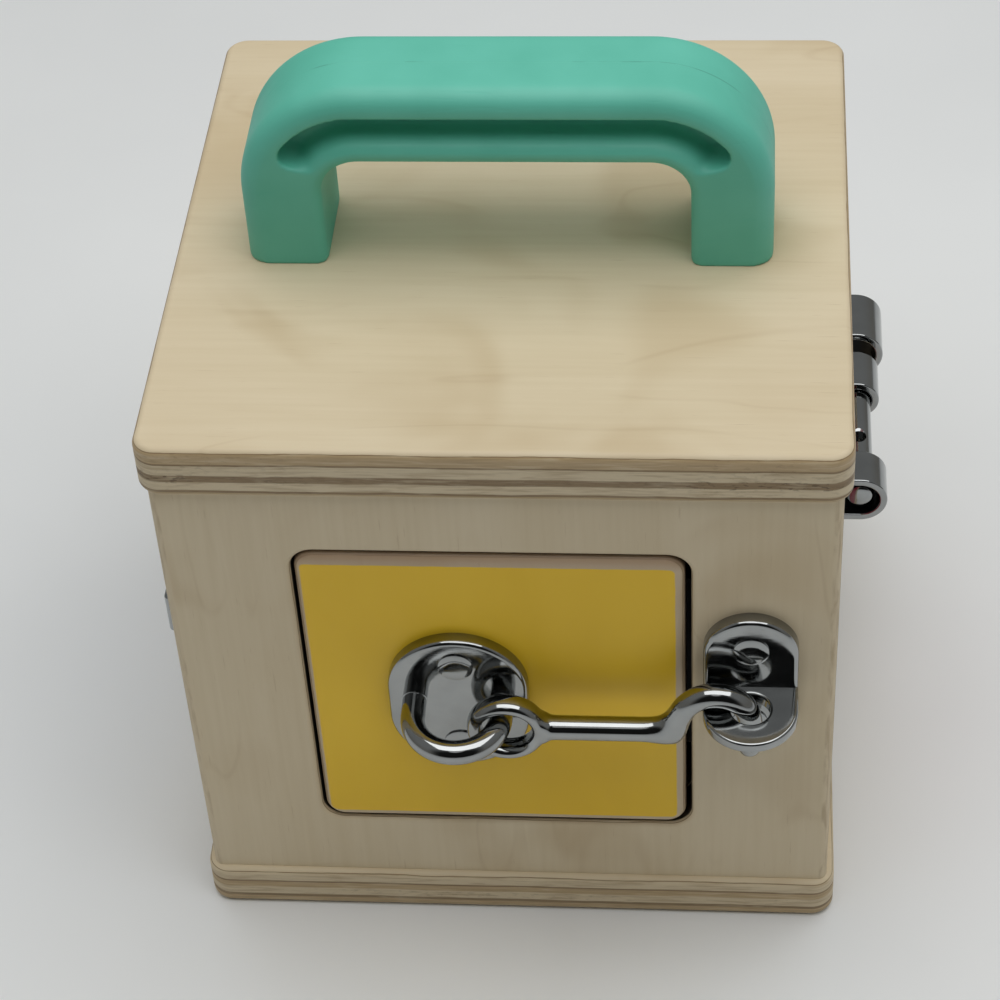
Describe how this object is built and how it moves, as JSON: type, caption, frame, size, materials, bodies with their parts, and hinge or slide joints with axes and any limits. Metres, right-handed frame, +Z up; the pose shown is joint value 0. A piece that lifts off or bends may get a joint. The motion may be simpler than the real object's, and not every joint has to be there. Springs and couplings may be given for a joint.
{
  "type": "latch lock box",
  "caption": "Toddler's plywood lock box with a moulded carrying handle and hinged doors, shut by a hook and eye, a slide bolt and a turn latch.",
  "frame": {"origin": "middle of the base plate's underside", "axes": "+Z up, the door with the hook latch faces -Y, +X to the right seen from the front"},
  "size_m": [0.1592, 0.1574, 0.1804],
  "materials": {
    "birch_ply": "clear satin varnish",
    "dowel_wood": "bare",
    "yellow_paint": "painted, satin",
    "red_paint": "painted, satin",
    "blue_paint": "painted, satin",
    "teal_plastic": "moulded, satin",
    "chrome": "bright plated",
    "steel": "plain"
  },
  "bodies": {
    "box": {"base_plate": "birch_ply", "top_plate": "birch_ply", "front_wall": "birch_ply", "back_wall": "birch_ply", "left_wall": "birch_ply", "right_wall": "birch_ply", "top_dowels": "dowel_wood", "base_dowels": "dowel_wood", "carry_handle": "teal_plastic", "handle_screws": "steel", "front_door_pins": "steel", "right_door_pins": "steel", "left_door_pins": "steel", "front_door_stop": "birch_ply", "right_door_stop": "birch_ply", "left_door_stop": "birch_ply", "catch_plate": "chrome", "catch_rivets": "chrome", "bolt_keeper": "chrome", "bolt_keeper_rivets": "chrome", "turn_keeper": "chrome", "turn_keeper_rivets": "chrome"},
    "front_door": {"front_door": "yellow_paint", "eye_plate": "chrome", "eye_ring": "chrome", "eye_rivets": "chrome"},
    "hook": {"latch_hook": "chrome"},
    "right_door": {"right_door": "red_paint", "bolt_guide": "chrome", "bolt_guide_rivets": "chrome"},
    "bolt": {"bolt_rod": "chrome", "bolt_knob": "chrome"},
    "left_door": {"left_door": "blue_paint", "turn_plate": "chrome", "turn_plate_rivets": "chrome"},
    "turn_latch": {"turn_spindle": "steel", "turn_tongue": "chrome", "turn_grip": "chrome", "turn_nut": "steel"}
  },
  "joints": [
    {"name": "front_door_hinge", "type": "hinge", "parent": "box", "child": "front_door", "pos_m": [-0.037, -0.0651, 0.07], "axis": [0, 0, -1], "range_deg": [0, 95]},
    {"name": "hook_lift", "type": "hinge", "parent": "front_door", "child": "hook", "pos_m": [0.00082, -0.077, 0.069], "axis": [0, -1, 0], "range_deg": [0, 105]},
    {"name": "right_door_hinge", "type": "hinge", "parent": "box", "child": "right_door", "pos_m": [0.0651, -0.037, 0.07], "axis": [0, 0, -1], "range_deg": [0, 95]},
    {"name": "bolt_slide", "type": "slide", "parent": "right_door", "child": "bolt", "axis": [0, 1, 0], "range_m": [-0.0052, 0.0117]},
    {"name": "left_door_hinge", "type": "hinge", "parent": "box", "child": "left_door", "pos_m": [-0.0651, 0.037, 0.07], "axis": [0, 0, -1], "range_deg": [0, 95]},
    {"name": "turn_latch_hinge", "type": "hinge", "parent": "left_door", "child": "turn_latch", "pos_m": [-0.0683, -0.026, 0.069], "axis": [1, 0, 0], "range_deg": [0, 90]}
  ]
}
